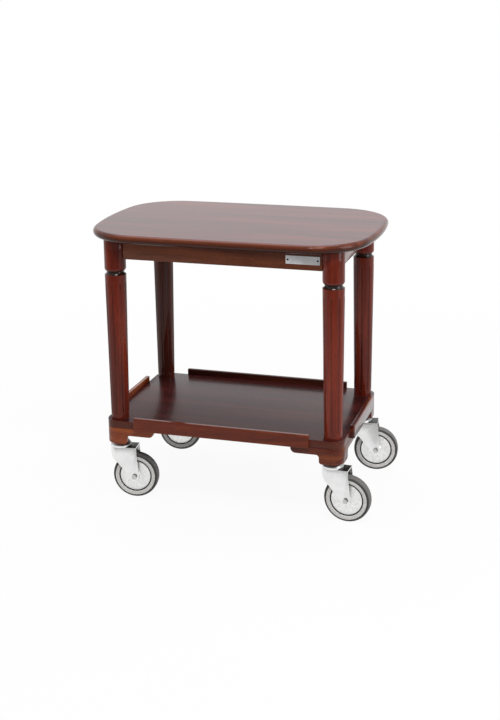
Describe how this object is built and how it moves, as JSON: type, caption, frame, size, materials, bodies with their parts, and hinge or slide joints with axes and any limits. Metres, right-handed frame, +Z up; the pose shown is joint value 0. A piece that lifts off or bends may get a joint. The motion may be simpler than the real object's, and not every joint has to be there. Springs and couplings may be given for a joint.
{
  "type": "room service table",
  "caption": "Two-tier serving table in polished wood: bowed top, turned fluted legs, galleried lower shelf, swivel castors.",
  "frame": {"origin": "on the floor, under the middle of the whole footprint, castors included", "axes": "+X along the table's length, towards the end that the castors trail to; +Y across it, from the side with the plate to the other; +Z up"},
  "size_m": [0.787, 0.507, 0.748],
  "materials": {
    "mahogany_top": "high gloss lacquer",
    "mahogany": "high gloss lacquer",
    "mahogany_shelf": "gloss lacquer",
    "block_wood": "bare",
    "plate_metal": "brushed",
    "castor_steel": "bright plated",
    "wheel_metal": "satin",
    "tyre": "matt grey"
  },
  "bodies": {
    "table_frame": {"apron_front": "mahogany", "apron_left": "mahogany", "apron_rear": "mahogany", "apron_right": "mahogany", "blank_plate": "plate_metal", "bracket_front_left": "mahogany", "bracket_front_right": "mahogany", "bracket_rear_left": "mahogany", "bracket_rear_right": "mahogany", "castor_heads": "castor_steel", "gallery_strip_front": "mahogany", "gallery_strip_left": "mahogany", "gallery_strip_rear": "mahogany", "gallery_strip_right": "mahogany", "glue_block_front_left": "block_wood", "glue_block_front_right": "block_wood", "glue_block_rear_left": "block_wood", "glue_block_rear_right": "block_wood", "leg_front_left": "mahogany", "leg_front_right": "mahogany", "leg_rear_left": "mahogany", "leg_rear_right": "mahogany", "shelf_board": "mahogany_shelf", "table_top": "mahogany_top"},
    "swivel_front_left": {"fork_front_left": "castor_steel"},
    "wheel_front_left": {"tyre_front_left": "tyre", "wheel_centre_front_left": "wheel_metal"},
    "swivel_front_right": {"fork_front_right": "castor_steel"},
    "wheel_front_right": {"tyre_front_right": "tyre", "wheel_centre_front_right": "wheel_metal"},
    "swivel_rear_right": {"fork_rear_right": "castor_steel"},
    "wheel_rear_right": {"tyre_rear_right": "tyre", "wheel_centre_rear_right": "wheel_metal"},
    "swivel_rear_left": {"fork_rear_left": "castor_steel"},
    "wheel_rear_left": {"tyre_rear_left": "tyre", "wheel_centre_rear_left": "wheel_metal"}
  },
  "joints": [
    {"name": "castor_swivel_front_left", "type": "hinge", "parent": "table_frame", "child": "swivel_front_left", "pos_m": [-0.30497, -0.18, 0.145], "axis": [0, 0, 1], "continuous": true},
    {"name": "wheel_spin_front_left", "type": "hinge", "parent": "swivel_front_left", "child": "wheel_front_left", "pos_m": [-0.26527, -0.17513, 0.0625], "axis": [-0.1219, 0.9925, 0], "continuous": true},
    {"name": "castor_swivel_front_right", "type": "hinge", "parent": "table_frame", "child": "swivel_front_right", "pos_m": [0.29002, -0.18, 0.145], "axis": [0, 0, 1], "continuous": true},
    {"name": "wheel_spin_front_right", "type": "hinge", "parent": "swivel_front_right", "child": "wheel_front_right", "pos_m": [0.32997, -0.18209, 0.0625], "axis": [0.0523, 0.9986, 0], "continuous": true},
    {"name": "castor_swivel_rear_right", "type": "hinge", "parent": "table_frame", "child": "swivel_rear_right", "pos_m": [0.29002, 0.18, 0.145], "axis": [0, 0, 1], "continuous": true},
    {"name": "wheel_spin_rear_right", "type": "hinge", "parent": "swivel_rear_right", "child": "wheel_rear_right", "pos_m": [0.32964, 0.18557, 0.0625], "axis": [-0.1392, 0.9903, 0], "continuous": true},
    {"name": "castor_swivel_rear_left", "type": "hinge", "parent": "table_frame", "child": "swivel_rear_left", "pos_m": [-0.30497, 0.18, 0.145], "axis": [0, 0, 1], "continuous": true},
    {"name": "wheel_spin_rear_left", "type": "hinge", "parent": "swivel_rear_left", "child": "wheel_rear_left", "pos_m": [-0.26537, 0.18557, 0.0625], "axis": [-0.1392, 0.9903, 0], "continuous": true}
  ]
}
